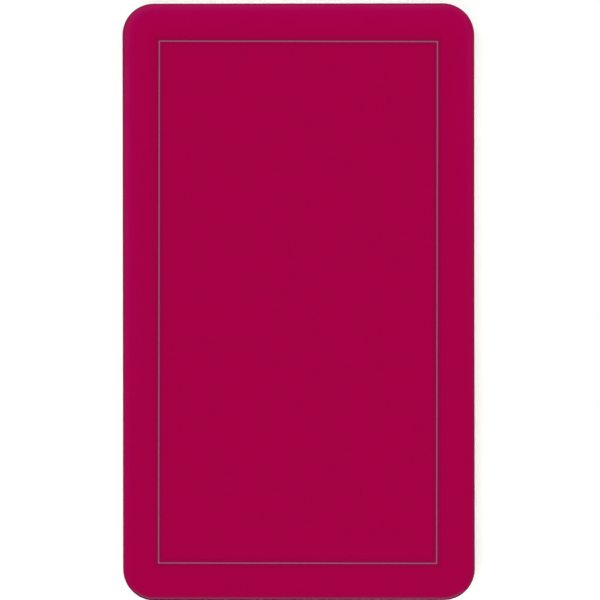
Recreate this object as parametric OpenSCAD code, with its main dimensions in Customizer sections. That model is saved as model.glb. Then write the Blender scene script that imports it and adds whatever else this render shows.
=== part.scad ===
// Tarot card deck: loose cards lying face down in one squared stack.
// The stack stands on z = 0 with its middle over the origin, card width along X and card length along Y.
// From the table up come the four suits, each from its ace to its king, and then the numbered majors.

/* [Card] */
// Width of a card
card_w = 70.8; // [60:0.2:90]
// Length of a card
card_l = 120; // [100:0.5:150]
// Thickness of the card board
card_t = 0.33; // [0.26:0.01:0.45]
// Radius of the die-cut corners
corner_r = 6.35; // [3:0.05:10]

/* [Stack] */
// Air that stays between one card and the next
air_gap = 0.02; // [0.01:0.01:0.06]

/* [Finish] */
// Colour printed on the backs
back_colour = "#A40144"; // ["#A40144", "#1F3A7A", "#1E6B45", "#2B2B2B"]

/* [Hidden] */
$fn = 64;

SUITS = ["coins", "swords", "cups", "wands"];
PIP_PAIRS = ["1_2", "3_4", "5_6", "7_8", "9_10"];
COURTS = ["page", "knight", "queen", "king"];
MAJORS = [
    "fool", "magician", "priestess", "empress", "emperor", "hierophant", "lovers", "chariot",
    "strength", "hermit", "wheel", "justice", "hanged_man", "death", "temperance", "devil",
    "tower", "star", "moon", "sun", "judgement", "world"
];

cards_in_pair = 2;
rise = card_t + air_gap;
nodes_in_suit = len(PIP_PAIRS) + len(COURTS);
cards_in_suit = cards_in_pair * len(PIP_PAIRS) + len(COURTS);

function two_digits(n) = n < 10 ? str("0", n) : str(n);

suit_nodes = [
    for (suit = SUITS, rank = concat(PIP_PAIRS, COURTS)) str(suit, "_", rank)
];
major_nodes = [
    for (n = [0 : len(MAJORS) - 1]) str("major_", two_digits(n), "_", MAJORS[n])
];

// How many cards lie under a rank of one suit, counted within that suit
function cards_below_rank(rank) =
    cards_in_pair * min(rank, len(PIP_PAIRS)) + max(0, rank - len(PIP_PAIRS));

// How many cards lie under a suit node, and under a major
function cards_below_suit_node(i) =
    floor(i / nodes_in_suit) * cards_in_suit + cards_below_rank(i % nodes_in_suit);
function cards_below_major(n) = len(SUITS) * cards_in_suit + n;

// One card's outline: a rectangle whose corners are quarter circles
module card_outline() {
    corner_x = card_w / 2 - corner_r;
    corner_y = card_l / 2 - corner_r;
    square([card_w, 2 * corner_y], center = true);
    square([2 * corner_x, card_l], center = true);
    for (x = [-corner_x, corner_x], y = [-corner_y, corner_y])
        translate([x, y]) circle(r = corner_r);
}

// One card, with a number of cards under it
module card(cards_below) {
    translate([0, 0, cards_below * rise])
        linear_extrude(height = card_t) card_outline();
}

// A court card by itself, or two pip cards that follow each other
module suit_cards(i) {
    is_pair = i % nodes_in_suit < len(PIP_PAIRS);
    color(back_colour)
        for (n = [0 : (is_pair ? cards_in_pair : 1) - 1])
            card(cards_below_suit_node(i) + n);
}

// A numbered major by itself
module major_card(n) {
    color(back_colour) card(cards_below_major(n));
}

for (i = [0 : len(suit_nodes) - 1])
    suit_cards(i);

for (n = [0 : len(major_nodes) - 1])
    major_card(n);
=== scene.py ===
"""Tarot card deck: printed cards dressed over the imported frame, squared and face down on a pale table."""

import math
import random

import bmesh
import bpy
from bpy.props import FloatProperty, FloatVectorProperty, PointerProperty
from mathutils import Matrix, Vector

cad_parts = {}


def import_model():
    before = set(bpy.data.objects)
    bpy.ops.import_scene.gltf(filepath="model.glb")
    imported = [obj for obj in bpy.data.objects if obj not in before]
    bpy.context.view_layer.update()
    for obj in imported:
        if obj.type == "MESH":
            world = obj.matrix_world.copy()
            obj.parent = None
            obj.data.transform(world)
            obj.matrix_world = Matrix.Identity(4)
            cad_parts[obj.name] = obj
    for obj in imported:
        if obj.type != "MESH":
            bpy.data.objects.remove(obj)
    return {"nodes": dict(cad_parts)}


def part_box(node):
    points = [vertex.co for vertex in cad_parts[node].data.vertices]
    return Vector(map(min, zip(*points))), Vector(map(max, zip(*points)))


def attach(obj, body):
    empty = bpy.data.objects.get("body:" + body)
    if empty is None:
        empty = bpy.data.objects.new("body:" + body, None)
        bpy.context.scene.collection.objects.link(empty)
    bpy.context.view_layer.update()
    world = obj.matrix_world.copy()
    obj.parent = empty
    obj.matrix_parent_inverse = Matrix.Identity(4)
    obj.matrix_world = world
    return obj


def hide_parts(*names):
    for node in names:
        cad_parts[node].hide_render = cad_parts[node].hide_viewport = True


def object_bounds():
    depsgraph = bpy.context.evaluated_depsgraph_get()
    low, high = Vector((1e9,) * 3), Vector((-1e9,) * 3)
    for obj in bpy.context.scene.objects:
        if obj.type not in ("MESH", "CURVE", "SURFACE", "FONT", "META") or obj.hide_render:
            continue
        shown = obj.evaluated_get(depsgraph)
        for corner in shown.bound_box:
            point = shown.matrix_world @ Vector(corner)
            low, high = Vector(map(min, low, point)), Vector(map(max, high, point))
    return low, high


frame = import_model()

bl_info = {
    "name": "Tarot Card Deck",
    "version": (1, 0, 0),
    "blender": (4, 5, 0),
    "location": "3D View > Sidebar > Tarot Deck",
    "description": "Dresses a squared deck of tarot cards with printed backs, cut edges and printed faces",
    "category": "Mesh",
}

MM = 0.001
CAD_LOW, CAD_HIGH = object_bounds()
NODES = sorted(frame["nodes"], key=lambda name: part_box(name)[0].z)
TOP_NODE = NODES[-1]
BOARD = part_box(TOP_NODE)[1].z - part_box(TOP_NODE)[0].z
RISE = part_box(NODES[0])[1].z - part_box(NODES[0])[0].z - BOARD

# The photograph's frame and the card's edges in it, in pixels
PHOTO_SIDE = 600.0
PHOTO_LEFT, PHOTO_RIGHT = 122.79, 474.46
PHOTO_TOP, PHOTO_BOTTOM = 3.42, 600.38

# Finishes of a card, in the order of its material indices
FINISHES = (
    "back", "line", "line_shade", "line_halo", "edge", "face", "black", "red", "blue", "gold", "green",
    "sky", "straw", "rose", "leaf",
)
BACK, LINE, LINE_SHADE, LINE_HALO, EDGE, FACE, BLACK = range(7)

# The map that a card is baked to. A room on it is given by its left, its low edge, its width and its height
PRINT_MAP = "OFBake"
BACK_ROOM, FACE_ROOM = (0.0, 0.0, 0.55, 0.92), (0.55, 0.36, 0.33, 0.56)
STRIPS_LOW, STRIP = 0.92, 0.02
SWATCHES_LEFT, SWATCH, SWATCHES_ABREAST = 0.55, 0.11, 4
ROOM_MARGIN = 0.003
# The share of a swatch that the thinnest line takes up, and the breadth of a face that takes up all of it
LEAST_SHARE, WHOLE_SWATCH = 0.3, 20 * MM

# Steps round a corner and over an edge, and how much of a normal points up or down at least: on the flat of a
# card, and on the print that rolls over the edge of its back
CORNER_STEPS, EDGE_STEPS = 12, 2
FLAT, ROLLED_PRINT = 0.99, 0.6
SMOOTH_UNDER = math.radians(12)
# How far the print strays from the middle of a card and how far it is turned, for all cards but the top one
REGISTER_STRAY, REGISTER_TURN = 0.12 * MM, math.radians(0.12)

# Noise over the finishes, in spots a metre, and the range that most of it keeps to
TOOTH, INK_GRAIN, FIBRES, VARNISH, INK_CLOUDS = 7000.0, 1800.0, 1400.0, 900.0, 420.0
COATING, RUBBING, BOARD_CLOUDS, HANDLING = 300.0, 160.0, 90.0, 38.0
NOISE = 0.3, 0.7
# Shine and roughness of the finishes, the depth of their relief, and what clouds and grain leave of an ink
VARNISH_SHINE, COATING_SHINE, BARE_SHINE = 0.15, 0.35, 0.2
VARNISH_ROUGHNESS, COATING_ROUGHNESS, BARE_ROUGHNESS = (0.35, 0.4), (0.44, 0.58), 0.9
PRINT_RELIEF, COATING_RELIEF, FIBRE_RELIEF = 0.004 * MM, 0.006 * MM, 0.02 * MM
CLOUDED, GRAINED = 0.97, 0.92

# Wear and painted shade on a back: how far in from the cut edge each is full, and how far in it ends
CAST_REACH, RUBBED_REACH = (0.4 * MM, 9 * MM), (0.0, 2 * MM)
SIDE_REACH, RIM_SHADE_REACH = (0.4 * MM, 1.1 * MM), (0.14 * MM, 0.55 * MM)
LOWER_REACHES = {
    "edge_shade": (0.7 * MM, 1.3 * MM), "lower_pale": (0.44 * MM, 0.64 * MM), "lower_shadow": (0.24 * MM, 0.32 * MM),
}
# Where the sides and the lower edge begin and where they count in full, and how much painted shade each side
# takes
SIDES_FROM, SIDES_FULL = 33.6 * MM, 34.4 * MM
LOWER_FROM, LOWER_FULL = -57.5 * MM, -58.8 * MM
RIGHT_SHADED, LEFT_SHADED = 0.9, 0.5
# How the cooler ink grows to the right and upwards, in shares a metre, from its share in the middle
COOLER_RIGHT, COOLER_UP, COOLER_MIDDLE = -5.0, 7.0, 0.36

# Coated face: how far the ageing reaches in, its share at the edge, and what it leaves of each colour
AGED_REACH, AGED_SHARE, AGED_TINT = 9 * MM, 0.55, (0.94, 0.89, 0.78)
# Shares of grey on a cut edge
FIBRE_GREY, TONE_GREY, HANDLED_GREY = 0.2, 0.5, 0.3

# Pips, in millimetres: how many stand in each of two columns, and the heights of those in the middle
PIPS_IN_COLUMN = (0, 0, 0, 0, 2, 2, 3, 3, 4, 4, 4)
PIPS_IN_MIDDLE = {1: (0,), 2: (21, -21), 3: (32, 0, -32), 5: (0,), 7: (17,), 9: (0,), 10: (22.6, -22.6)}
SPRIGS = {2: (0,), 4: (0,), 6: (17, -17), 7: (-17,), 8: (0,)}
COLUMN, SHORT_REACH, LONG_REACH = 15.5, 23, 34
PIP_HEIGHTS = (0, 38, 28, 28, 24, 24, 24, 19, 19, 19, 19)
NUMERAL, SPRIG = 6.4, 11
# Courts: the height of the suit's sign at the head, the rank's mark and its place, and the medallion's place
HEAD_SIGN, RANK_MARK, RANK_PLACE, MEDALLION = 7.6, 25, 33, -14

# Half the table's width, the spread of a lamp's light, and the width of the camera's sensor in millimetres
TABLE_REACH, LAMP_SPREAD, SENSOR = 6.0, math.radians(20), 36.0
# Heights between which the room turns from the table's white to its walls, and from these to a dark ceiling
WALLS_FROM, CEILING_FROM = (-0.02, 0.05), (0.25, 0.85)
# The low lamps around the deck: their height in degrees, and for each its share of their light and its turn
LOW_LAMP_HEIGHT = 12
LOW_LAMPS = {
    "lamp_front_left": (1.7, -45),
    "lamp_front_right": (0.9, 45),
    "lamp_back_left": (0.9, -135),
    "lamp_back_right": (0.5, 135),
}


def srgb(red, green, blue):
    """A screen colour of 0 to 255 as the linear colour that shaders take."""

    def linear(value):
        value /= 255
        return value / 12.92 if value <= 0.04045 else ((value + 0.055) / 1.055) ** 2.4

    return tuple(linear(value) for value in (red, green, blue))


def size(name, description, default):
    """A size in metres."""
    return FloatProperty(name=name, description=description, default=default, unit="LENGTH", precision=5)


def level(name, description, default):
    """A plain number."""
    return FloatProperty(name=name, description=description, default=default)


def angle(name, description, degrees):
    """A small turn."""
    return FloatProperty(name=name, description=description, default=math.radians(degrees), subtype="ANGLE")


def colour(name, description, default):
    """A colour of the print, the board or the stage."""
    return FloatVectorProperty(
        name=name, description=description, default=default, subtype="COLOR", size=3, min=0.0, max=1.0
    )


class TAROT_PG_card(bpy.types.PropertyGroup):
    """Sizes of one card and how the cards lie in the deck"""

    slack: size("Slack", "How far a card may lie off the squared stack", 0.12 * MM)
    corner: size("Corner", "Radius of the die-cut corners", 6.3 * MM)
    under: size("Under", "Room under a card for the ink on its face", 0.02 * MM)
    over: size("Over", "Room over a card for the ink on its back", 0.005 * MM)
    edge_round: size("Edge round", "How far the die rolls the edge over", 0.025 * MM)
    turn: angle("Turn", "How far a card may lie turned", 0.05)
    top_turn: angle("Top turn", "How far the top card lies turned", 0.08)
    squared: size("Squared", "How deep the cards under the top one lie about as it does", 3 * MM)


class TAROT_PG_back(bpy.types.PropertyGroup):
    """Print on the backs"""

    field: colour("Field", "Ground colour of the backs", srgb(164, 1, 68))
    cast: colour("Cast", "Ground colour where it has cooled towards the edges", srgb(168, 1, 82))
    worn: colour("Worn", "Ground colour where hands have rubbed it", srgb(166, 40, 92))
    # Painted shade of the rolled cut edge, along the very edge
    rim: colour("Rim", "Ink along the very edge", srgb(130, 26, 70))
    # Painted shade beside the sides and the lower edge
    edge_shade: colour("Shaded", "Ink beside the worn sides and lower edge", srgb(152, 8, 66))
    # A paler band of ink along the lower edge, between the painted shade and the painted shadow
    lower_pale: colour("Paler", "Ink along the lower edge, where the board shows through", srgb(142, 57, 90))
    # Painted shadow along the very lower edge
    lower_shadow: colour("Shadowed", "Ink on the very lower edge", srgb(90, 22, 52))
    line: colour("Line", "Frame line", srgb(163, 81, 117))
    line_shade: colour("Line shade", "Darker ink beside the frame line", srgb(140, 10, 64))
    line_halo: colour("Line halo", "Ink that fades from the darker ink to the ground", srgb(155, 4, 67))
    frame_width: size("Frame width", "Width of the printed frame", 55.79 * MM)
    frame_length: size("Frame length", "Length of the printed frame", 104.69 * MM)
    line_width: size("Line width", "Width of the frame line", 0.25 * MM)
    shade_width: size("Shade width", "Width of the darker ink on each side of the line", 0.26 * MM)
    halo_width: size("Halo width", "Width of the fading ink on each side of that", 0.5 * MM)
    register_x: size("Register X", "How far the top card's print sits off its middle, across", -0.13 * MM)
    register_y: size("Register Y", "How far the top card's print sits off its middle, along", -0.07 * MM)
    skew: angle("Skew", "How far the top card's print is turned on the card", -0.17)


class TAROT_PG_face(bpy.types.PropertyGroup):
    """Board and inks of the faces"""

    board: colour("Board", "Coated face of the board", srgb(240, 231, 212))
    edge: colour("Edge", "Cut edge of the board", srgb(246, 241, 232))
    edge_dark: colour("Edge dark", "Cut edge where it has greyed", srgb(222, 212, 199))
    black: colour("Black", "Key ink", srgb(38, 33, 34))
    red: colour("Red", "Red ink", srgb(172, 36, 34))
    blue: colour("Blue", "Blue ink", srgb(44, 78, 132))
    gold: colour("Gold", "Yellow ink", srgb(222, 168, 52))
    green: colour("Green", "Green ink", srgb(66, 112, 68))
    sky: colour("Sky", "Wash behind the majors and the swords", srgb(203, 216, 220))
    straw: colour("Straw", "Wash behind the coins", srgb(239, 222, 178))
    rose: colour("Rose", "Wash behind the cups", srgb(236, 208, 196))
    leaf: colour("Leaf", "Wash behind the wands and on the hills", srgb(208, 217, 180))
    border_inset: size("Border inset", "Distance of the border from the edges", 4.3 * MM)
    border_width: size("Border width", "Width of the border line", 0.5 * MM)
    head: size("Head", "Height of the panel that holds the number", 10.4 * MM)
    panel_gap: size("Panel gap", "Distance of the picture from the border", 0.9 * MM)
    key_width: size("Key width", "Width of the black line around the picture and its shapes", 0.3 * MM)
    ink: size("Ink", "Thickness of one layer of ink", 0.0034 * MM)


class TAROT_PG_stage(bpy.types.PropertyGroup):
    """Table, light and camera"""

    table: colour("Table", "Pale table top", (0.94, 0.94, 0.94))
    table_glow: level("Table glow", "White that the camera adds to the table", 0.1)
    lens: level("Lens", "Focal length of the camera in millimetres", 600.0)
    walls: level("Walls", "Brightness of the room's walls", 0.4)
    above: level("Above", "Light from straight above, in watts a square metre", 2.33)
    around: level("Around", "Mean light from each low lamp around the deck", 0.6)


class Nodes:
    """Short ways to fill a tree of shader nodes."""

    def __init__(self, tree):
        self.tree = tree

    def add(self, kind, inputs=None, **settings):
        """A node with its settings made and its inputs set or linked."""
        made = self.tree.nodes.new(kind)
        for name, value in settings.items():
            setattr(made, name, value)
        for socket, value in (inputs or {}).items():
            self.feed(made.inputs[socket], value)
        return made

    def feed(self, socket, value):
        """Links a socket to another, or sets it."""
        if isinstance(value, bpy.types.NodeSocket):
            self.tree.links.new(value, socket)
        else:
            socket.default_value = value

    def sum(self, operation, first, second=0.0, third=0.0):
        """The result of one piece of arithmetic."""
        return self.add("ShaderNodeMath", {0: first, 1: second, 2: third}, operation=operation).outputs[0]

    def vector(self, operation, first, second=(0.0, 0.0, 0.0), output=0):
        """The result of one piece of vector arithmetic."""
        return self.add("ShaderNodeVectorMath", {0: first, 1: second}, operation=operation).outputs[output]

    def span(self, value, low, high, to_low=0.0, to_high=1.0, **settings):
        """A value carried from one range to another and held at its ends."""
        sockets = {"Value": value, "From Min": low, "From Max": high, "To Min": to_low, "To Max": to_high}
        return self.add("ShaderNodeMapRange", sockets, **settings).outputs["Result"]


class Finish(Nodes):
    """One material around a Principled shader."""

    def __init__(self, name, specular):
        self.material = bpy.data.materials.new(name)
        self.material.use_nodes = True
        super().__init__(self.material.node_tree)
        self.shader = self.tree.nodes["Principled BSDF"].inputs
        self.shader["Specular IOR Level"].default_value = specular
        self.place = self.add("ShaderNodeTexCoord").outputs["Object"]

    def mottle(self, spots, detail=3.0, stretch=(1.0, 1.0, 1.0)):
        """Cloudy noise over the piece, in spots a metre."""
        place = self.add("ShaderNodeMapping", {"Vector": self.place, "Scale": stretch}).outputs["Vector"]
        sockets = {"Vector": place, "Scale": spots, "Detail": detail}
        return self.add("ShaderNodeTexNoise", sockets).outputs["Fac"]

    def blend(self, share, first, second):
        """Two colours mixed by a share."""
        first, second = (c if isinstance(c, bpy.types.NodeSocket) else (*c, 1.0) for c in (first, second))
        return self.add("ShaderNodeMix", {0: share, 6: first, 7: second}, data_type="RGBA").outputs[2]

    def relief(self, height, distance):
        """Bumps the surface by a height of 0 to 1."""
        sockets = {"Height": height, "Strength": 1.0, "Distance": distance}
        self.feed(self.shader["Normal"], self.add("ShaderNodeBump", sockets).outputs["Normal"])

    def roughen(self, spots, low, high):
        """Lets the roughness wander between two values."""
        self.feed(self.shader["Roughness"], self.span(self.mottle(spots), *NOISE, low, high))

    def inward(self, card):
        """How far a point lies in from the card's cut edge."""
        round_x, round_y = card_extent(card) / 2 - card.corner * Vector((1, 1))
        folded = self.vector("ABSOLUTE", self.vector("MULTIPLY", self.place, (1.0, 1.0, 0.0)))
        past = self.vector("SUBTRACT", folded, (round_x, round_y, 0.0))
        in_corner = self.vector("LENGTH", self.vector("MAXIMUM", past), output="Value")
        axes = self.add("ShaderNodeSeparateXYZ", {0: past}).outputs
        on_side = self.sum("MINIMUM", self.sum("MAXIMUM", axes["X"], axes["Y"]), 0.0)
        return self.sum("SUBTRACT", card.corner, self.sum("ADD", in_corner, on_side))


def back_print(scene):
    """Crimson ground, cooler and rubbed to the upper left, with painted shade along the rim and the sides,
    and a paler band and a painted shadow along the lower edge.
    """
    card, back = scene.tarot_card, scene.tarot_back
    finish = Finish("Crimson back print", VARNISH_SHINE)
    inward = finish.inward(card)
    axes = finish.add("ShaderNodeSeparateXYZ", {0: finish.place}).outputs

    def within(full, none):
        """1 up to a distance from the edge, falling to 0 at another."""
        return finish.span(inward, full, none, 1.0, 0.0)

    def softly(share):
        return finish.sum("POWER", share, 2.0)

    def both(first, second):
        return finish.sum("MULTIPLY", first, second)

    clouds = finish.span(finish.mottle(INK_CLOUDS, 4.0), *NOISE)
    print_ = finish.blend(clouds, back.field, [c * CLOUDED for c in back.field])
    upwards = finish.sum("MULTIPLY_ADD", axes["Y"], COOLER_UP, COOLER_MIDDLE)
    upper_left = finish.span(finish.sum("MULTIPLY_ADD", axes["X"], COOLER_RIGHT, upwards), 0.0, 1.0)
    print_ = finish.blend(both(softly(within(*CAST_REACH)), upper_left), print_, back.cast)
    uneven = finish.span(finish.mottle(RUBBING), 0.35, 0.6, 0.6, 1.0)
    print_ = finish.blend(both(softly(within(*RUBBED_REACH)), both(upper_left, uneven)), print_, back.worn)
    # Painted shade beside the sides, deeper on the right
    for side, share in ((1, RIGHT_SHADED), (-1, LEFT_SHADED)):
        beside = finish.span(axes["X"], side * SIDES_FROM, side * SIDES_FULL, 0.0, share)
        print_ = finish.blend(both(beside, within(*SIDE_REACH)), print_, back.edge_shade)
    # Painted shade along the very edge, where the die rolls it over
    print_ = finish.blend(softly(within(*RIM_SHADE_REACH)), print_, back.rim)
    # Along the lower edge: painted shade, a paler band and, at the very edge, a painted shadow
    lower = finish.span(axes["Y"], LOWER_FROM, LOWER_FULL)
    for ink, reach in LOWER_REACHES.items():
        print_ = finish.blend(both(lower, within(*reach)), print_, getattr(back, ink))
    finish.feed(finish.shader["Base Color"], print_)
    finish.roughen(VARNISH, *VARNISH_ROUGHNESS)
    finish.relief(finish.mottle(TOOTH, 2.0), PRINT_RELIEF)
    return finish.material


def flat_print(name, ink):
    """Ink with a faint grain, under the same varnish as the rest."""
    finish = Finish(name, VARNISH_SHINE)
    grain = finish.span(finish.mottle(INK_GRAIN), *NOISE)
    finish.feed(finish.shader["Base Color"], finish.blend(grain, ink, [c * GRAINED for c in ink]))
    finish.roughen(VARNISH, *VARNISH_ROUGHNESS)
    return finish.material


def cut_edge(scene):
    """Bare fibres of the board, each card a little whiter or greyer than the next."""
    face = scene.tarot_face
    finish = Finish("Cut board edge", BARE_SHINE)
    finish.feed(finish.shader["Roughness"], BARE_ROUGHNESS)
    tone = finish.add("ShaderNodeAttribute", attribute_name="tone").outputs["Fac"]
    fibres = finish.span(finish.mottle(FIBRES, 4.0, (1.0, 1.0, 0.2)), *NOISE)
    handled = finish.span(finish.mottle(HANDLING, 2.0, (1.0, 1.0, 0.6)), 0.42, 0.68)
    grey = finish.sum("MULTIPLY_ADD", fibres, FIBRE_GREY, finish.sum("MULTIPLY", tone, TONE_GREY))
    grey = finish.sum("MULTIPLY_ADD", handled, HANDLED_GREY, grey)
    finish.feed(finish.shader["Base Color"], finish.blend(grey, face.edge, face.edge_dark))
    finish.relief(fibres, FIBRE_RELIEF)
    return finish.material


def coated_face(scene):
    """Ivory coating, warmer towards the edges."""
    card, face = scene.tarot_card, scene.tarot_face
    finish = Finish("Ivory face", COATING_SHINE)
    clouds = finish.span(finish.mottle(BOARD_CLOUDS, 4.0), 0.35, 0.7)
    aged = finish.span(finish.inward(card), 0.0, AGED_REACH, AGED_SHARE, 0.0)
    share = finish.sum("ADD", finish.sum("MULTIPLY", clouds, 0.3), aged)
    warmer = [c * left for c, left in zip(face.board, AGED_TINT)]
    finish.feed(finish.shader["Base Color"], finish.blend(share, face.board, warmer))
    finish.roughen(COATING, *COATING_ROUGHNESS)
    finish.relief(finish.mottle(TOOTH, 2.0), COATING_RELIEF)
    return finish.material


def finish_for(scene, name):
    """The material of one finish, made when it is first asked for."""
    title = f"card {name}"
    if title not in bpy.data.materials:
        back, face = scene.tarot_back, scene.tarot_face
        if name == "back":
            made = back_print(scene)
        elif name == "edge":
            made = cut_edge(scene)
        elif name == "face":
            made = coated_face(scene)
        else:
            made = flat_print(title, getattr(back if hasattr(back, name) else face, name))
        made.name = title
    return bpy.data.materials[title]


def card_extent(card):
    """Width and length of a card: the stack's, less the room that a card has to lie off it."""
    return (CAD_HIGH - CAD_LOW).xy - 2 * card.slack * Vector((1, 1))


def picture_panel(scene):
    """Middle and extent of the picture on a face, inside the border and under the number."""
    face = scene.tarot_face
    inside = card_extent(scene.tarot_card) - 2 * (face.border_inset + face.panel_gap) * Vector((1, 1))
    return Vector((0, -face.head / 2, 0)), inside - Vector((0, face.head))


def rule_frame(board, side, middle, turn, extent, bands, ground=None):
    """Rules nested bands along a rectangle into the flat back (side 1) or face (side -1) of a card, and fills
    the rectangle with a ground if one is given."""
    spin = Matrix.Rotation(turn, 3, "Z")
    outermost = bands[-1][0]

    def off_line(sheet_face):
        at = spin.transposed() @ (sheet_face.calc_center_median() - middle)
        return max(abs(at.x) - extent.x / 2, abs(at.y) - extent.y / 2)

    def sheet():
        return [f for f in board.faces if f.normal.z * side > FLAT]

    reaches = sorted((sign * half for half, _ in bands for sign in (-1, 1)), reverse=True)
    for reach in reaches:
        for axis, half in ((Vector((1, 0, 0)), extent.x / 2), (Vector((0, 1, 0)), extent.y / 2)):
            for sign in (-1, 1):
                normal = spin @ (axis * sign)
                cut = [f for f in sheet() if reach == outermost or off_line(f) < outermost]
                geometry = {part for f in cut for part in (f, *f.edges, *f.verts)}
                bmesh.ops.bisect_plane(
                    board, geom=list(geometry), plane_co=middle + normal * (half + reach), plane_no=normal
                )
    for sheet_face in sheet():
        away = off_line(sheet_face)
        finish = next((index for half, index in bands if abs(away) < half), ground if away < 0 else None)
        if finish is not None:
            sheet_face.material_index = finish


def card_board(scene, register, ground):
    """One card with its back up, its face at z = 0 and its middle at the origin, and its frames ruled."""
    card, back, face = scene.tarot_card, scene.tarot_back, scene.tarot_face
    extent = card_extent(card)
    board = bmesh.new()
    bmesh.ops.create_grid(board, x_segments=1, y_segments=1, size=0.5)
    bmesh.ops.scale(board, vec=(*extent, 1.0), verts=board.verts)
    bmesh.ops.bevel(
        board, geom=board.verts[:], offset=card.corner, offset_type="OFFSET", segments=CORNER_STEPS,
        profile=0.5, affect="VERTICES", material=-1,
    )
    raised = bmesh.ops.extrude_face_region(board, geom=board.faces[:], use_keep_orig=True)["geom"]
    bmesh.ops.translate(
        board, vec=(0, 0, BOARD - card.under - card.over),
        verts=[part for part in raised if isinstance(part, bmesh.types.BMVert)],
    )
    bmesh.ops.recalc_face_normals(board, faces=board.faces)
    rims = [edge for edge in board.edges if abs(edge.verts[0].co.z - edge.verts[1].co.z) < card.edge_round]
    bmesh.ops.bevel(
        board, geom=rims, offset=card.edge_round, offset_type="OFFSET", segments=EDGE_STEPS,
        profile=0.5, affect="EDGES", material=-1,
    )
    for part in board.faces:
        up = part.normal.z
        part.material_index = BACK if up > ROLLED_PRINT else FACE if up < -FLAT else EDGE
    line = back.line_width / 2
    shade = line + back.shade_width
    middle, turn = register
    rule_frame(
        board, 1, middle, turn, Vector((back.frame_width, back.frame_length)),
        ((line, LINE), (shade, LINE_SHADE), (shade + back.halo_width, LINE_HALO)),
    )
    border = extent - 2 * face.border_inset * Vector((1, 1))
    rule_frame(board, -1, Vector(), 0.0, border, ((face.border_width / 2, BLACK),))
    at, panel = picture_panel(scene)
    rule_frame(board, -1, at, 0.0, panel, ((face.key_width / 2, BLACK),), FINISHES.index(ground))
    return board


def swatch_shares(part):
    """A regular polygon for a face of ink, in the middle of its swatch and larger for a broader face."""
    breadth = 4 * part.calc_area() / part.calc_perimeter()
    reach = 0.5 * min(1.0, max(LEAST_SHARE, breadth / WHOLE_SWATCH))
    turns = [2 * math.pi * k / len(part.loops) for k in range(len(part.loops))]
    return [(0.5 + reach * math.cos(turn), 0.5 + reach * math.sin(turn)) for turn in turns]


def map_print(board, extent):
    """Gives the back, the face, each side of the edge and each ink a room of its own on the map that a card
    is baked to. A printed shape then has the outline of its plate, however coarse the map is."""
    places = board.loops.layers.uv.new(PRINT_MAP)
    rooms = {BACK: BACK_ROOM, FACE: FACE_ROOM}
    inks = [index for index in range(len(FINISHES)) if index not in (BACK, EDGE, FACE)]
    for place, ink in enumerate(inks):
        row, column = divmod(place, SWATCHES_ABREAST)
        rooms[ink] = (SWATCHES_LEFT + column * SWATCH, row * SWATCH, SWATCH, SWATCH)
    for part in board.faces:
        shares = [(c.vert.co.x / extent.x + 0.5, c.vert.co.y / extent.y + 0.5) for c in part.loops]
        if part.material_index == EDGE:
            across = abs(part.normal.x) > abs(part.normal.y)
            strip = 2 * across + ((part.normal.x if across else part.normal.y) > 0)
            room = (0.0, STRIPS_LOW + strip * STRIP, 1.0, STRIP)
            shares = [(share[across], c.vert.co.z / BOARD) for share, c in zip(shares, part.loops)]
        else:
            room = rooms[part.material_index]
            if part.material_index in inks:
                shares = swatch_shares(part)
        left, low, wide, tall = room
        for corner, (share_x, share_y) in zip(part.loops, shares):
            corner[places].uv = (
                left + ROOM_MARGIN + share_x * (wide - 2 * ROOM_MARGIN),
                low + ROOM_MARGIN + share_y * (tall - 2 * ROOM_MARGIN),
            )


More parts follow.
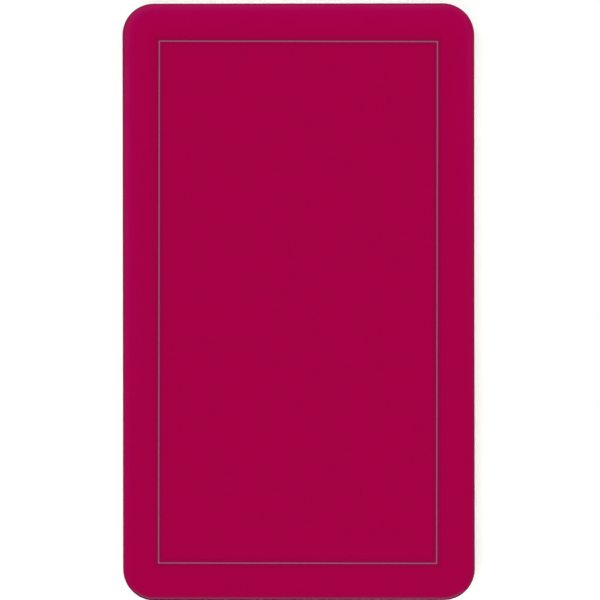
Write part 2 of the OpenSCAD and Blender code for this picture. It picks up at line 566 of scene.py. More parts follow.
class Press:
    """Plates of ink for one face. Places are as the face is seen, from the press's middle and in its unit."""

    # Depth of a plate's foot in the board, and the steps of height that plates of one layer take in turn
    SUNK = 0.005
    STEPS = 8
    SPREAD = 0.8
    # Breadth from which a plate has a black line around it, and the most of the breadth that the line takes
    KEYED_FROM = 1.2
    KEY_SHARE = 0.1

    def __init__(self, face, panel):
        self.layer = face.ink / MM
        self.key = face.key_width / MM
        self.reach = panel / MM / 2
        self.plates = bmesh.new()
        self.middle = Vector((0, 0, 0))
        self.unit = 1.0
        self.base = 0
        self.laid = 0

    def lay(self, made, ink, layer):
        """Raises a flat plate to its layer, a little off the one before it. A wide one gets a black line."""
        self.laid += 1
        bmesh.ops.scale(self.plates, vec=(self.unit, self.unit, 1.0), verts=made)
        height = (self.base + layer + self.SPREAD * (self.laid % self.STEPS) / self.STEPS) * self.layer
        flat = list({f for v in made for f in v.link_faces})
        rim = {e for f in flat for e in f.edges if len(e.link_faces) == 1}
        breadth = 4 * sum(f.calc_area() for f in flat) / sum(e.calc_length() for e in rim)
        raised = bmesh.ops.extrude_face_region(self.plates, geom=flat, use_keep_orig=True)["geom"]
        top = [part for part in raised if isinstance(part, bmesh.types.BMVert)]
        printed = [part for part in raised if isinstance(part, bmesh.types.BMFace)]
        bmesh.ops.translate(self.plates, vec=(0, 0, self.SUNK + height), verts=top)
        bmesh.ops.translate(self.plates, vec=self.middle - Vector((0, 0, self.SUNK)), verts=[*made, *top])
        for vert in (*made, *top):
            for part in vert.link_faces:
                part.material_index = FINISHES.index(ink)
        if ink != "black" and breadth > self.KEYED_FROM:
            for part in printed:
                part.normal_update()
            keyed = bmesh.ops.inset_region(
                self.plates, faces=printed, thickness=min(self.key, self.KEY_SHARE * breadth),
                use_boundary=True, use_even_offset=True,
            )
            for part in keyed["faces"]:
                part.material_index = BLACK

    def oval(self, x, y, across, along, ink, layer=1, turn=0.0, steps=24):
        """An ellipse of two radii."""
        placed = Matrix.Translation((x, y, 0)) @ Matrix.Rotation(math.radians(turn), 4, "Z")
        placed = placed @ Matrix.Diagonal((across, along, 1, 1))
        made = bmesh.ops.create_circle(self.plates, cap_ends=True, radius=1.0, segments=steps, matrix=placed)
        self.lay(made["verts"], ink, layer)

    def dot(self, x, y, radius, ink, layer=1):
        """A small round spot."""
        self.oval(x, y, radius, radius, ink, layer, steps=12)

    def ring(self, x, y, radius, width, ink, layer=1, steps=32):
        """A round band of a width, inside its radius."""
        placed = Matrix.Translation((x, y, 0))
        made = []
        for reach in (radius, radius - width):
            made += bmesh.ops.create_circle(self.plates, radius=reach, segments=steps, matrix=placed)["verts"]
        bmesh.ops.bridge_loops(self.plates, edges=list({e for v in made for e in v.link_edges}))
        self.lay(made, ink, layer)

    def bar(self, x0, y0, x1, y1, width, ink, layer=1):
        """A straight bar from one point to another."""
        run = Vector((x1 - x0, y1 - y0))
        placed = Matrix.Translation(((x0 + x1) / 2, (y0 + y1) / 2, 0))
        placed = placed @ Matrix.Rotation(math.atan2(run.y, run.x), 4, "Z")
        placed = placed @ Matrix.Diagonal((run.length, width, 1, 1))
        made = bmesh.ops.create_grid(self.plates, x_segments=1, y_segments=1, size=0.5, matrix=placed)
        self.lay(made["verts"], ink, layer)

    def star(self, x, y, points, outer, inner, ink, layer=1, turn=0.0):
        """A star or a rayed flower with its first point up."""
        placed = Matrix.Translation((x, y, 0)) @ Matrix.Rotation(math.radians(turn), 4, "Z")
        made = bmesh.ops.create_circle(
            self.plates, cap_ends=True, radius=outer, segments=2 * points, matrix=placed
        )["verts"]
        bmesh.ops.scale(
            self.plates, vec=(inner / outer, inner / outer, 1.0), verts=made[1::2],
            space=Matrix.Translation((-x, -y, 0)),
        )
        self.lay(made, ink, layer)

    def plate(self, points, ink, layer=1):
        """A plate with an outline of its own."""
        made = [self.plates.verts.new((x, y, 0)) for x, y in points]
        self.plates.faces.new(made)
        self.lay(made, ink, layer)

    def blade(self, x0, y0, x1, y1, bulges, ink, layer=1, steps=12):
        """A leaf or a blade between two tips, whose two sides bulge to the left of the way between them."""
        start, way = Vector((x0, y0)), Vector((x1 - x0, y1 - y0))
        left = way.orthogonal().normalized()
        there, back = (
            [start + way * t + left * 4 * bulge * t * (1 - t) for t in (k / steps for k in range(1, steps))]
            for bulge in bulges
        )
        self.plate([start, *there, start + way, *reversed(back)], ink, layer)

    def stamp(self, emblem, x, y, tall, *more):
        """Draws an emblem, which is made about one unit tall, at a place and a height."""
        middle, unit = self.middle, self.unit
        self.middle = middle + unit * Vector((x, y, 0))
        self.unit = unit * tall
        emblem(self, *more)
        self.middle, self.unit = middle, unit

    def onto(self, board):
        """Turns the plates over and lays them on a card's face."""
        bmesh.ops.recalc_face_normals(self.plates, faces=self.plates.faces)
        turned = Matrix.Rotation(math.pi, 4, "Y") @ Matrix.Scale(MM, 4)
        bmesh.ops.transform(self.plates, matrix=turned, verts=self.plates.verts)
        printed = bpy.data.meshes.new("printed")
        self.plates.to_mesh(printed)
        self.plates.free()
        board.from_mesh(printed)
        bpy.data.meshes.remove(printed)


def numeral(press, number):
    """A number in strokes: 0 as a ring, the others in Roman figures."""
    tens, ones = divmod(number, 10)
    signs = "X" * tens + ("", "I", "II", "III", "IV", "V", "VI", "VII", "VIII", "IX")[ones]
    if not signs:
        press.ring(0, 0, 0.5, 0.17, "black")
    top, low, lean, thick, thin, serif = 0.5, -0.5, 0.28, 0.15, 0.09, 0.3
    strokes = {
        "I": ((0, low, 0, top, thick),),
        "V": ((-lean, top, 0, low, thick), (lean, top, 0, low, thin)),
        "X": ((-lean, top, lean, low, thick), (lean, top, -lean, low, thin)),
    }
    feet = {
        "I": ((0, top), (0, low)),
        "V": ((-lean, top), (lean, top)),
        "X": ((-lean, top), (lean, top), (-lean, low), (lean, low)),
    }
    wide = {"I": 0.46, "V": 0.86, "X": 0.86}
    at = -sum(wide[sign] for sign in signs) / 2
    for sign in signs:
        middle = at + wide[sign] / 2
        for x0, y0, x1, y1, width in strokes[sign]:
            press.bar(middle + x0, y0, middle + x1, y1, width, "black")
        for x, y in feet[sign]:
            press.bar(middle + x - serif / 2, y, middle + x + serif / 2, y, thin, "black")
        at += wide[sign]


# Emblems of the suits, and the sprig that stands where a pip card is bare


def coin(press):
    press.oval(0, 0, 0.5, 0.5, "gold", 1, steps=36)
    press.ring(0, 0, 0.43, 0.025, "black", 2)
    press.star(0, 0, 8, 0.37, 0.2, "red", 2)
    press.oval(0, 0, 0.11, 0.11, "gold", 3, steps=16)


def sword(press):
    press.plate(((-0.09, -0.2), (0.09, -0.2), (0.075, 0.38), (0, 0.52), (-0.075, 0.38)), "blue")
    press.bar(0, -0.18, 0, 0.36, 0.03, "face", 2)
    press.bar(0, -0.22, 0, -0.46, 0.09, "red")
    press.bar(-0.25, -0.21, 0.25, -0.21, 0.08, "gold", 2)
    for end in (-0.25, 0.25):
        press.dot(end, -0.21, 0.055, "gold", 3)
    press.dot(0, -0.48, 0.07, "gold", 2)


def cup(press):
    foot = ((-0.26, -0.48), (0.26, -0.48), (0.2, -0.4), (0.05, -0.3), (-0.05, -0.3), (-0.2, -0.4))
    turns = [math.pi * k / 14 for k in range(15)]
    press.bar(0, -0.34, 0, 0.06, 0.08, "gold")
    press.plate(foot, "gold", 2)
    press.plate([(0.3 * math.cos(turn), 0.44 - 0.46 * math.sin(turn)) for turn in turns], "gold", 2)
    press.oval(0, 0.44, 0.3, 0.06, "red", 3)
    press.oval(0, -0.15, 0.1, 0.05, "red", 2, steps=16)
    press.bar(-0.22, 0.16, 0.22, 0.16, 0.025, "black", 3)


def wand(press):
    for out in (-0.26, 0.26):
        for low in (0.16, -0.22):
            press.blade(0, low, out, low + 0.14, (0.055, -0.055), "green")
    press.bar(0, -0.48, 0, 0.48, 0.085, "green", 2)
    for end in (-0.47, 0.47):
        press.oval(0, end, 0.075, 0.055, "gold", 3, steps=16)
    press.bar(-0.07, -0.02, 0.07, -0.02, 0.05, "red", 3)


def sprig(press):
    for turn in (math.pi * k / 2 for k in range(4)):
        press.blade(0, 0, 0.5 * math.cos(turn), 0.5 * math.sin(turn), (0.08, -0.08), "green", 1, 8)
    press.dot(0, 0, 0.1, "red", 2)


SUIT_EMBLEMS = {"coins": coin, "swords": sword, "cups": cup, "wands": wand}
SUIT_WASHES = {"coins": "straw", "swords": "sky", "cups": "rose", "wands": "leaf"}


# Marks of the court ranks


def cap(press):
    felt = ((-0.42, -0.2), (0.42, -0.2), (0.34, 0.1), (0.12, 0.26), (-0.14, 0.24), (-0.36, 0.06))
    press.plate(felt, "blue")
    press.bar(-0.5, -0.2, 0.5, -0.2, 0.14, "black", 2)
    press.blade(0.02, -0.12, 0.46, 0.46, (0.1, -0.06), "red", 3)


def helm(press):
    press.oval(0, 0, 0.3, 0.38, "blue", 1)
    press.bar(-0.24, 0.02, 0.24, 0.02, 0.07, "black", 2)
    press.bar(0, -0.34, 0, 0.02, 0.05, "black", 2)
    press.blade(-0.06, 0.3, 0.5, 0.36, (0.22, 0.06), "red", 3)


def coronet(press):
    for place in (-0.36, -0.18, 0.0, 0.18, 0.36):
        press.bar(place, -0.2, place * 1.1, 0.08, 0.1, "gold", 1)
        press.dot(place * 1.12, 0.12, 0.075, "red", 2)
    press.bar(-0.44, -0.24, 0.44, -0.24, 0.17, "gold", 2)


def crown(press):
    points = [(-0.42, -0.18), (0.42, -0.18), (0.5, 0.26), (0.26, 0.0), (0.2, 0.36), (0.08, 0.04), (0.0, 0.42)]
    points += [(-x, y) for x, y in reversed(points[2:-1])]
    press.plate(points, "gold")
    press.bar(-0.44, -0.26, 0.44, -0.26, 0.17, "red", 2)
    for place in (-0.28, 0.0, 0.28):
        press.dot(place, -0.26, 0.06, "gold", 3)


RANK_MARKS = {"page": cap, "knight": helm, "queen": coronet, "king": crown}


# Shapes that several majors share


def heart(press, x, y, wide, ink, layer=1, steps=40):
    scale = wide / 32
    half = steps // 2
    outline = []
    for turn in (math.pi * k / half for k in range(steps) if k % half not in (1, half - 1)):
        across = 16 * math.sin(turn) ** 3
        along = 13 * math.cos(turn) - 5 * math.cos(2 * turn) - 2 * math.cos(3 * turn) - math.cos(4 * turn)
        outline.append((x + across * scale, y + along * scale))
    press.plate(outline, ink, layer)


def crescent(press, x, y, radius, ink, bite=0.36, opening=50.0, turn=18.0, steps=28):
    """A moon between two circles: its own and one that bites into it, towards a turn in degrees."""
    tip = Vector((math.cos(math.radians(opening)), math.sin(math.radians(opening)))) - Vector((bite, 0))
    arcs = (
        (0.0, 1.0, math.radians(opening), math.radians(360 - opening)),
        (bite, tip.length, -math.atan2(tip.y, tip.x), math.atan2(tip.y, tip.x) - 2 * math.pi),
    )
    outline = []
    for off, reach, first, last in arcs:
        for k in range(steps):
            at = first + (last - first) * k / steps
            outline.append(Vector((off + reach * math.cos(at), reach * math.sin(at))))
    spin = Matrix.Rotation(math.radians(turn), 2)
    press.plate([Vector((x, y)) + spin @ point * radius for point in outline], ink)


def eight_loop(press):
    for place, layer in ((-0.86, 1), (0.86, 2)):
        press.ring(place, 0, 1, 0.3, "gold", layer)


def spokes(press, x, y, reach, count, width, ink):
    for turn in (2 * math.pi * k / count for k in range(count)):
        press.bar(x, y, x + reach * math.cos(turn), y + reach * math.sin(turn), width, ink)


def hill(press, low=10.0, rise=6.5, steps=16):
    """Rolling ground along the foot of the picture."""
    wide, foot = press.reach.x - press.key / 2, -press.reach.y + press.key / 2
    ridge = [wide * (1 - 2 * k / steps) for k in range(steps + 1)]
    outline = [(x, foot + low + rise * (1 - (x / wide) ** 2)) for x in ridge]
    press.plate([(-wide, foot), (wide, foot), *outline], "leaf", 0)


# Emblems of the majors, in millimetres around the picture's middle


def fool(press):
    hill(press)
    press.bar(-17, -33, 12, 16, 2.8, "green")
    press.oval(13, 21, 10, 8.6, "red", 2, 30)
    for x, y in ((9, 22), (14, 27), (19, 23), (14, 19)):
        press.dot(x, y, 1.1, "gold", 3)
    press.oval(8, 13, 3.6, 2.1, "gold", 3, 55)
    press.star(-14, 31, 12, 10.5, 6, "gold")
    press.oval(-14, 31, 4.6, 4.6, "red", 2)


def magician(press):
    hill(press)
    press.stamp(eight_loop, 0, 38, 6.6)
    press.stamp(wand, 0, 15, 30)
    for side in (-1, 1):
        press.bar(side * 21, -12, side * 21, -37, 2.8, "red")
    press.bar(-25, -12, 25, -12, 3.6, "red", 2)
    press.stamp(cup, -16, -3.4, 14)
    press.stamp(coin, 0, -5.4, 9)
    press.stamp(sword, 16, 0.6, 20)


def priestess(press):
    hill(press)
    for side, ink in ((-1, "blue"), (1, "black")):
        press.bar(side * 20, -34, side * 20, 30, 8, ink)
        for end, layer in ((30, 2), (-34, 2)):
            press.bar(side * 20 - 6, end, side * 20 + 6, end, 4.4, "gold", layer)
    press.ring(0, 16, 13, 1, "black")
    press.oval(0, 16, 10, 10, "gold", steps=36)
    crescent(press, 0, -14, 11, "blue", turn=90)


def empress(press):
    heart(press, 0, -8, 44, "red")
    press.star(0, -5, 8, 12, 5.6, "gold", 2)
    press.dot(0, -5, 3, "red", 3)
    press.stamp(coronet, 0, 30, 26)


def emperor(press):
    press.oval(0, -11, 22, 22, "blue", steps=44)
    press.bar(0, -9, 0, 9.6, 4, "gold", 2)
    press.bar(-20.6, -9, 20.6, -9, 4, "gold", 3)
    press.bar(0, 11, 0, 36, 3.8, "gold")
    press.bar(-8, 27, 8, 27, 3.8, "gold", 2)
    for x in (-12, 0, 12):
        press.dot(x, -9, 1.3, "red", 4)


def hierophant(press):
    for side, ink, layer in ((-1, "blue", 1), (1, "gold", 3)):
        press.bar(side * 13, -21.6, side * 20, -17, 3, ink, layer)
        press.bar(side * 17, -27.6, side * 24, -23, 3, ink, layer)
        press.bar(side * 18, -29, -side * 13.4, 20, 3.4, ink, layer + 1)
        press.ring(-side * 17, 25.6, 8, 2.8, ink, layer + 1)
    press.star(0, 38, 8, 6, 2.8, "red", 2)


def lovers(press):
    heart(press, -9, 7, 32, "red", 1)
    heart(press, 9, -6, 32, "blue", 2)
    press.bar(-26, -24, 23, 20, 1.9, "gold", 3)
    press.plate(((28.4, 24.8), (18.4, 22), (24, 15.6)), "gold", 4)
    for step in (0, 3, 6):
        for x, y in ((-4.4, 1.6), (1.6, -4.4)):
            press.bar(-24 + step, -22 + step * 0.9, -24 + step + x, -22 + step * 0.9 + y, 1.2, "red", 2)


def chariot(press):
    hill(press)
    press.plate(((-22, 16), (22, 16), (15, 30), (-15, 30)), "blue", 2)
    press.star(0, 22.6, 5, 5, 2, "gold", 3)
    for place in (-19.8, -6.6, 6.6, 19.8):
        press.blade(place - 6.6, 16, place + 6.6, 16, (0.0, -3.6), "gold", 3)
    for side in (-1, 1):
        press.bar(side * 17, -8, side * 17, 17, 2.4, "gold")
        spokes(press, side * 15, -26, 8.4, 8, 1.4, "black")
        press.ring(side * 15, -26, 10, 2.2, "gold", 3)
        press.dot(side * 15, -26, 2.4, "red", 3)
    press.plate(((-23, -4), (23, -4), (17, -22), (-17, -22)), "red", 1)
    press.bar(-24, -4, 24, -4, 2.8, "gold", 2)


def strength(press):
    hill(press)
    press.stamp(eight_loop, 0, 30, 8)
    press.bar(0, -34, 0, 12, 15, "gold")
    for place in (-4.2, 0, 4.2):
        press.bar(place, -34, place, 12, 0.8, "black", 2)
    for low, wide in ((13.5, 23), (-35, 25)):
        press.bar(-wide / 2, low, wide / 2, low, 4.6, "red", 3)
    press.bar(-9, 9, 9, 9, 2.4, "red", 3)


def hermit(press):
    hill(press)
    press.oval(0, -2, 26, 30, "straw", steps=48)
    press.ring(0, 29, 5.6, 1.6, "black", 2)
    press.plate(((-15, 14), (15, 14), (6, 24), (-6, 24)), "blue", 2)
    press.plate(((-12, 13), (12, 13), (10, -24), (-10, -24)), "gold", 2)
    press.star(0, -6, 6, 8, 3.4, "red", 3)
    press.bar(0, 13, 0, 2, 0.7, "black", 3)
    press.bar(-14, -25.6, 14, -25.6, 4, "blue", 3)


def wheel(press):
    spokes(press, 0, 0, 26, 8, 2.4, "blue")
    press.ring(0, 0, 29, 4.4, "gold", 2, 56)
    press.ring(0, 0, 17, 2.6, "red", 2, 40)
    press.oval(0, 0, 6, 6, "gold", 3)
    press.dot(0, 0, 2, "red", 4)
    for turn in (math.pi * (k + 0.5) / 4 for k in range(8)):
        press.dot(26.8 * math.cos(turn), 26.8 * math.sin(turn), 1.2, "red", 3)


def justice(press):
    hill(press)
    press.bar(0, -34, 0, 28, 2.8, "gold")
    press.bar(-21, 22, 21, 22, 2.4, "gold", 2)
    press.dot(0, 30, 3.6, "red", 2)
    press.bar(-13, -35, 13, -35, 4, "gold", 2)
    for side in (-1, 1):
        for out in (13, 27):
            press.bar(side * 20, 22, side * out, -4, 0.7, "black")
        press.blade(side * 20 - 9, -4, side * 20 + 9, -4, (0.0, -6.5), "blue", 2)
        press.dot(side * 20, 22, 1.8, "red", 3)


def hanged_man(press):
    hill(press)
    for side in (-1, 1):
        press.bar(side * 21, -36, side * 21, 32, 4.4, "green", 2)
        for low in (-22, -6, 10):
            press.blade(side * 20, low, side * 11, low + 5, (1.7, -1.7), "green")
    press.bar(-26, 32, 26, 32, 4.6, "green", 3)
    press.bar(0, 31, 0, 8, 1.3, "black")
    press.ring(0, -1, 10, 1.6, "gold", 2)
    press.star(0, -1, 8, 7, 3, "gold", 1)


def death(press):
    hill(press)
    press.blade(17, 30, -27, 10, (-13.0, -6.0), "blue", 1)
    press.bar(-8, -34, 15, 31, 3, "green", 2)
    press.bar(0, -9, 8, -11.4, 2.4, "green", 3)
    press.dot(14.4, 29.4, 2.4, "gold", 3)


def temperance(press):
    hill(press)
    for place in (-2.4, 0.0, 2.4):
        press.bar(-7 + place, 27, 10 + place, -10, 1.2, "blue", 1)
    press.stamp(cup, -13, 20, 28)
    press.stamp(cup, 12, -22, 28)


def devil(press):
    hill(press)
    for side in (-1, 1):
        for k in range(3):
            press.ring(side * (8 + 6.4 * k), -14 - 2.4 * k, 4.4, 1.3, "gold", 1 + k % 2, 20)
    press.plate(((-5.6, 6), (5.6, 6), (2.4, -36), (-2.4, -36)), "black", 3)
    for place, along, turn in ((-6, 11, 14), (6, 11, -14), (0, 15, 0)):
        press.oval(place, 19, 5.6, along, "red", 1, turn)
        press.oval(place * 0.8, 15, 2.6, along * 0.55, "gold", 2, turn)
    press.bar(-9, 7, 9, 7, 4.4, "gold", 3)


def tower(press):
    hill(press)
    press.plate(((-13, -35), (13, -35), (11, 12), (-11, 12)), "face")
    for place in (-12, -4, 4, 12):
        press.bar(place, 14, place, 21, 4.6, "face", 1)
    press.bar(-15, 13.6, 15, 13.6, 4, "face", 2)
    for low in (-22, -5):
        press.oval(0, low, 2.4, 4.4, "black", 2)
    for low, place in ((-30, -7), (-26, 6), (-13, -6), (1, 6), (4, -6)):
        press.bar(place - 2.2, low, place + 2.2, low, 0.6, "black", 2)
    press.plate(((20, 38), (8, 21), (13, 20), (2, 5), (20, 18), (14.6, 20), (27, 34)), "gold", 4)


def great_star(press):
    hill(press)
    press.star(0, 6, 8, 27, 10, "gold")
    press.star(0, 6, 8, 15, 6, "red", 2, 22.5)
    press.dot(0, 6, 3.4, "gold", 3)
    for x, y in ((-23, 32), (23, 32), (-25, 2), (25, 2), (-18, -22), (18, -22), (0, 41)):
        press.star(x, y, 8, 4.6, 2, "blue")


def moon(press):
    hill(press)
    crescent(press, 0, 14, 22, "gold")
    press.star(12, 19, 6, 5, 2.2, "red")
    for x, y in ((-22, -14), (-11, -20), (0, -17), (11, -20), (22, -14)):
        press.blade(x, y - 4, x, y + 4, (1.8, -1.8), "red")
    press.oval(0, -40, 21, 4.6, "blue", steps=40)
    for low, wide in ((-38.6, 11), (-40.4, 15), (-42.2, 9)):
        press.bar(-wide, low, wide, low, 0.5, "face", 2)


def sun(press):
    hill(press)
    press.star(0, 8, 16, 31, 16, "gold")
    press.star(0, 8, 16, 22, 14.6, "red", 2, 11.25)
    press.oval(0, 8, 14, 14, "gold", 3, steps=40)
    for place in (-20, 0, 20):
        press.bar(place, -42, place, -34, 1.2, "green", 1)
        press.star(place, -31, 8, 4.6, 2.4, "gold", 2)
        press.dot(place, -31, 1.5, "red", 3)


def judgement(press):
    for x, y, reach in ((-19, -32, 10), (20, -33, 9), (-6, -36, 11), (8, -35, 10)):
        press.oval(x, y, reach, 0.66 * reach, "face")
    press.bar(-23, -12, 16, 18.4, 3, "gold")
    press.plate(((14.6, 15), (12, 18.4), (21, 31), (28, 22.4)), "gold", 2)
    press.plate(((-5, -0.2), (9, 10.8), (22, -5.6), (8, -16.6)), "red", 2)
    press.bar(2, 5.2, 15, -11.2, 2.6, "gold", 3)
    press.bar(1.4, -8.4, 15.6, 2.6, 2.6, "gold", 4)
    press.dot(-23.6, -12.4, 2.2, "gold", 2)


def world(press):
    leaves, across, along = 13, 19.5, 30.0
    for side in (-1, 1):
        for k in range(leaves):
            turn = math.pi * (k + 0.6) / (leaves + 0.8)
            stem = side * across * math.sin(turn), -along * math.cos(turn)
            for out, lead in ((1.2, 0.16), (0.83, 0.2), (1.0, 0.3)):
                tip = side * across * out * math.sin(turn + lead), -along * out * math.cos(turn + lead)
                press.blade(*stem, *tip, (1.35, -1.35), "green", 1 + k % 2, 8)
    for end in (-1, 1):
        for lean in (-1, 1):
            press.bar(-5, end * along - lean * 2.6, 5, end * along + lean * 2.6, 2.2, "red", 3 + (lean > 0))
    press.star(0, 0, 8, 15, 5.6, "gold")
    press.star(0, 0, 8, 8.6, 3.4, "blue", 2, 22.5)
    press.dot(0, 0, 2.4, "gold", 3)
    for x in (-22.6, 22.6):
        for y, ink in ((36, "blue"), (-36, "red")):
            press.star(x, y, 8, 6, 3, ink)
            press.dot(x, y, 1.8, "gold", 2)


MAJOR_EMBLEMS = (
    fool, magician, priestess, empress, emperor, hierophant, lovers, chariot, strength, hermit, wheel,
    justice, hanged_man, death, temperance, devil, tower, great_star, moon, sun, judgement, world,
)


def corner_sprays(press):
    """Three leaves and a berry in each corner of the picture."""
    for side in (-1, 1):
        for end in (-1, 1):
            x, y = side * (press.reach.x - 1.3), end * (press.reach.y - 1.3)
            for lean in (6, 45, 84):
                out, up = (4.6 * turn(math.radians(lean)) for turn in (math.cos, math.sin))
                press.blade(x, y, x - side * out, y - end * up, (0.8, -0.8), "green", 2, 8)
            press.dot(x - side * 0.6, y - end * 0.6, 0.9, "red", 3)


def headed_face(scene):
    """A press with the ornaments that all faces share, its middle at the picture's, and its head's height."""
    middle, panel = picture_panel(scene)
    press = Press(scene.tarot_face, panel)
    press.middle = middle / MM
    corner_sprays(press)
    head = press.reach.y + (scene.tarot_face.head + scene.tarot_face.panel_gap) / MM / 2
    for side in (-1, 1):
        press.bar(side * 13.5, head, side * 27.5, head, 0.35, "black")
        press.star(side * 20.5, head, 4, 2.6, 1.1, "red", 2)
    return press, head


def pip_places(count):
    """Where a number of pips stand: two columns, and a middle one for what is left over."""
    in_column = PIPS_IN_COLUMN[count]
    reach = SHORT_REACH if in_column == 2 else LONG_REACH
    rows = [reach - 2 * reach * k / (in_column - 1) for k in range(in_column)]
    in_columns = [(side * COLUMN, row) for row in rows for side in (-1, 1)]
    return in_columns + [(0, row) for row in PIPS_IN_MIDDLE.get(count, ())]


def pip_face(scene, suit, count):
    """The face of a pip card."""
    press, head = headed_face(scene)
    press.stamp(numeral, 0, head, NUMERAL, count)
    if count == 1:
        press.star(0, 0, 32, 28.5, 23, "gold", 1)
        press.oval(0, 0, 22, 22, "face", 2, steps=48)
        press.base = 2
    for x, y in pip_places(count):
        press.stamp(SUIT_EMBLEMS[suit], x, y, PIP_HEIGHTS[count])
    for y in SPRIGS.get(count, ()):
        press.stamp(sprig, 0, y, SPRIG)
    return press


def court_face(scene, suit, rank):
    """The face of a court card: the mark of the rank over a medallion with the suit's emblem."""
    press, head = headed_face(scene)
    press.stamp(SUIT_EMBLEMS[suit], 0, head, HEAD_SIGN)
    press.stamp(RANK_MARKS[rank], 0, RANK_PLACE, RANK_MARK)
    press.oval(0, MEDALLION, 25, 30, "gold", 1, steps=56)
    press.oval(0, MEDALLION, 23, 28, "face", 2, steps=56)
    press.base = 2
    press.stamp(SUIT_EMBLEMS[suit], 0, MEDALLION, 42)
    return press


def major_face(scene, number):
    """The face of a major."""
    press, head = headed_face(scene)
    press.stamp(numeral, 0, head, NUMERAL, number)
    press.base = 1
    MAJOR_EMBLEMS[number](press)
    return press


def lay_card(scene, title, node, above, ground, press):
    """Makes one card of a node and lays it in the stack, so many cards above the node's lowest."""
    card, back = scene.tarot_card, scene.tarot_back
    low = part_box(node)[0].z + above * RISE
    chance = random.Random(title)
    strays = 1 - math.exp((low + BOARD - CAD_HIGH.z) / card.squared)
    loose = strays * (card.slack - card.turn * CAD_HIGH.y)
    shift = Vector([chance.uniform(-loose, loose) for _ in "xy"])
    turn = strays * chance.uniform(-card.turn, card.turn) + (1 - strays) * card.top_turn
    if node == TOP_NODE:
        register = Vector((back.register_x, back.register_y, 0)), back.skew
    else:
        middle = Vector([chance.gauss(0, REGISTER_STRAY) for _ in "xy"] + [0])
        register = middle, chance.gauss(0, REGISTER_TURN)
    board = card_board(scene, register, ground)
    press.onto(board)
    map_print(board, card_extent(card))
    placed = Matrix.Translation((shift.x, shift.y, low + card.under)) @ Matrix.Rotation(turn, 4, "Z")
    bmesh.ops.transform(board, matrix=placed, verts=board.verts)
    tone = board.faces.layers.float.new("tone")
    greyed = chance.random()
    used = sorted({part.material_index for part in board.faces})
    for part in board.faces:
        part[tone] = greyed
        part.material_index = used.index(part.material_index)
    mesh = bpy.data.meshes.new(title)
    board.to_mesh(mesh)
    board.free()
    for index in used:
        mesh.materials.append(finish_for(scene, FINISHES[index]))
    mesh.shade_smooth()
    mesh.set_sharp_from_angle(angle=SMOOTH_UNDER)
    piece = bpy.data.objects.new(title, mesh)
    scene.collection.objects.link(piece)
    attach(piece, node)
    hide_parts(node)
    return piece


class TAROT_OT_pip_cards(bpy.types.Operator):
    """Make the pip cards, ace to ten of each suit"""

    bl_idname = "tarot.pip_cards"
    bl_label = "Pip Cards"

    def execute(self, context):
        for node in NODES:
            suit, *ranks = node.split("_")
            if suit in SUIT_EMBLEMS and ranks[0].isdigit():
                for above, rank in enumerate(ranks):
                    title = f"card_{suit}_{int(rank):02d}"
                    press = pip_face(context.scene, suit, int(rank))
                    lay_card(context.scene, title, node, above, SUIT_WASHES[suit], press)
        return {"FINISHED"}


class TAROT_OT_court_cards(bpy.types.Operator):
    """Make the page, knight, queen and king of each suit"""

    bl_idname = "tarot.court_cards"
    bl_label = "Court Cards"

    def execute(self, context):
        for node in NODES:
            suit, rank, *_ = node.split("_")
            if rank in RANK_MARKS:
                press = court_face(context.scene, suit, rank)
                lay_card(context.scene, f"card_{node}", node, 0, SUIT_WASHES[suit], press)
        return {"FINISHED"}


class TAROT_OT_major_cards(bpy.types.Operator):
    """Make the numbered majors"""

    bl_idname = "tarot.major_cards"
    bl_label = "Major Cards"

    def execute(self, context):
        for node in NODES:
            kind, number, *_ = node.split("_")
            if kind == "major":
                press = major_face(context.scene, int(number))
                lay_card(context.scene, f"card_{node}", node, 0, "sky", press)
        return {"FINISHED"}


class TAROT_OT_stage(bpy.types.Operator):
    """Make the table, the lights and the camera"""

    bl_idname = "tarot.stage"
    bl_label = "Stage"

    def execute(self, context):
        scene = context.scene
        scene.view_settings.view_transform = "Standard"
        lay_table(scene)
        light_room(scene)
        hang_lamp(scene, "lamp_above", scene.tarot_stage.above, 90, 0)
        for name, (share, turn) in LOW_LAMPS.items():
            hang_lamp(scene, name, scene.tarot_stage.around * share, LOW_LAMP_HEIGHT, turn)
        aim_camera(scene)
        return {"FINISHED"}


def lay_table(scene):
    """A wide pale table that stays white to the camera and keeps the deck's shadow."""
    stage = scene.tarot_stage
    top = bmesh.new()
    bmesh.ops.create_grid(top, x_segments=8, y_segments=8, size=TABLE_REACH)
    mesh = bpy.data.meshes.new("table")
    top.to_mesh(mesh)
    top.free()
    material = bpy.data.materials.new("Pale table")
    material.use_nodes = True
    material.node_tree.nodes.clear()
    nodes = Nodes(material.node_tree)
    paint = nodes.add("ShaderNodeBsdfDiffuse", {"Color": (*stage.table, 1.0)})
    rays = nodes.add("ShaderNodeLightPath").outputs
    seen = rays["Is Camera Ray"]
    for ray in ("Is Glossy Ray", "Is Transmission Ray"):
        seen = nodes.sum("MAXIMUM", seen, rays[ray])
    glow = nodes.add("ShaderNodeEmission", {"Strength": nodes.sum("MULTIPLY", seen, stage.table_glow)})
    both = nodes.add("ShaderNodeAddShader", {0: paint.outputs[0], 1: glow.outputs[0]})
    nodes.add("ShaderNodeOutputMaterial", {"Surface": both.outputs[0]})
    mesh.materials.append(material)
    table = bpy.data.objects.new("table", mesh)
    scene.collection.objects.link(table)


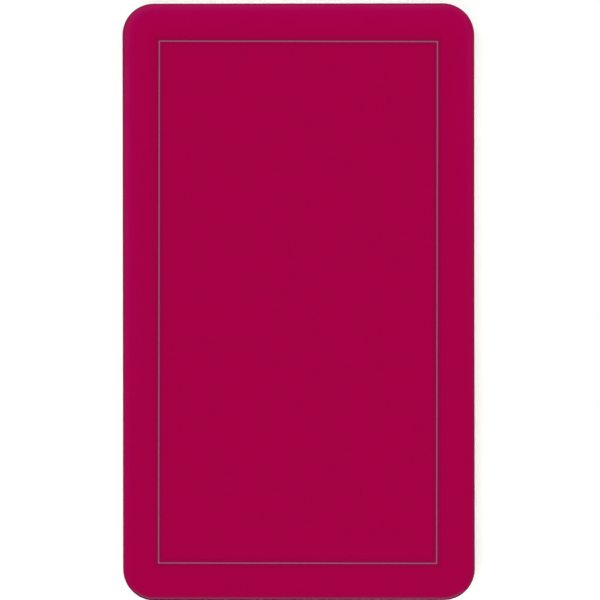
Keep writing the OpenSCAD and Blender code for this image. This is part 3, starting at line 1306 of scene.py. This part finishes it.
def light_room(scene):
    """White walls that darken towards the ceiling, so that nothing shines back from the top card."""
    world = bpy.data.worlds.new("Room")
    scene.world = world
    world.use_nodes = True
    nodes = Nodes(world.node_tree)
    direction = nodes.add("ShaderNodeTexCoord").outputs["Generated"]
    height = nodes.add("ShaderNodeSeparateXYZ", {0: direction}).outputs["Z"]
    lit, unlit = (
        nodes.span(height, *heights, 1.0, least, interpolation_type="SMOOTHSTEP")
        for heights, least in ((WALLS_FROM, scene.tarot_stage.walls), (CEILING_FROM, 0.0))
    )
    background = world.node_tree.nodes["Background"].inputs
    nodes.feed(background["Strength"], nodes.sum("MULTIPLY", lit, unlit))
    nodes.feed(background["Color"], (1.0, 1.0, 1.0, 1.0))


def hang_lamp(scene, name, strength, height, turn):
    """A far lamp with soft shadows, at a height and a turn from the front in degrees."""
    light = bpy.data.lights.new(name, "SUN")
    light.energy = strength
    light.angle = LAMP_SPREAD
    lamp = bpy.data.objects.new(name, light)
    lamp.rotation_euler = (math.radians(90 - height), 0, math.radians(turn))
    lamp.visible_glossy = False
    scene.collection.objects.link(lamp)


def aim_camera(scene):
    """A long lens straight above the deck, framed as the photograph is."""
    stage = scene.tarot_stage
    pixel = card_extent(scene.tarot_card).y / (PHOTO_BOTTOM - PHOTO_TOP)
    camera = bpy.data.cameras.new("camera")
    camera.sensor_width = SENSOR
    camera.lens = stage.lens
    away = PHOTO_SIDE * pixel * camera.lens / camera.sensor_width
    seen = bpy.data.objects.new("camera", camera)
    seen.location = (
        (PHOTO_SIDE - PHOTO_LEFT - PHOTO_RIGHT) / 2 * pixel,
        (PHOTO_TOP + PHOTO_BOTTOM - PHOTO_SIDE) / 2 * pixel,
        CAD_HIGH.z + away,
    )
    scene.collection.objects.link(seen)
    scene.camera = seen


class TAROT_PT_deck(bpy.types.Panel):
    """Sizes, colours and pieces of the tarot deck"""

    bl_idname = "TAROT_PT_deck"
    bl_label = "Tarot Deck"
    bl_space_type = "VIEW_3D"
    bl_region_type = "UI"
    bl_category = "Tarot Deck"

    def draw(self, context):
        for step in STEPS:
            self.layout.operator(step.bl_idname)
        for name in GROUPS:
            group = getattr(context.scene, name)
            box = self.layout.box()
            for key in group.bl_rna.properties.keys():
                if key not in ("rna_type", "name"):
                    box.prop(group, key)


STEPS = (TAROT_OT_pip_cards, TAROT_OT_court_cards, TAROT_OT_major_cards, TAROT_OT_stage)
GROUPS = {
    "tarot_card": TAROT_PG_card,
    "tarot_back": TAROT_PG_back,
    "tarot_face": TAROT_PG_face,
    "tarot_stage": TAROT_PG_stage,
}


def register():
    for made in (*GROUPS.values(), *STEPS, TAROT_PT_deck):
        bpy.utils.register_class(made)
    for name, group in GROUPS.items():
        setattr(bpy.types.Scene, name, PointerProperty(type=group))


def unregister():
    for name in GROUPS:
        delattr(bpy.types.Scene, name)
    for made in reversed((*GROUPS.values(), *STEPS, TAROT_PT_deck)):
        bpy.utils.unregister_class(made)


def main():
    register()
    bpy.ops.tarot.pip_cards()
    bpy.ops.tarot.court_cards()
    bpy.ops.tarot.major_cards()
    bpy.ops.tarot.stage()


if __name__ == "__main__":
    main()
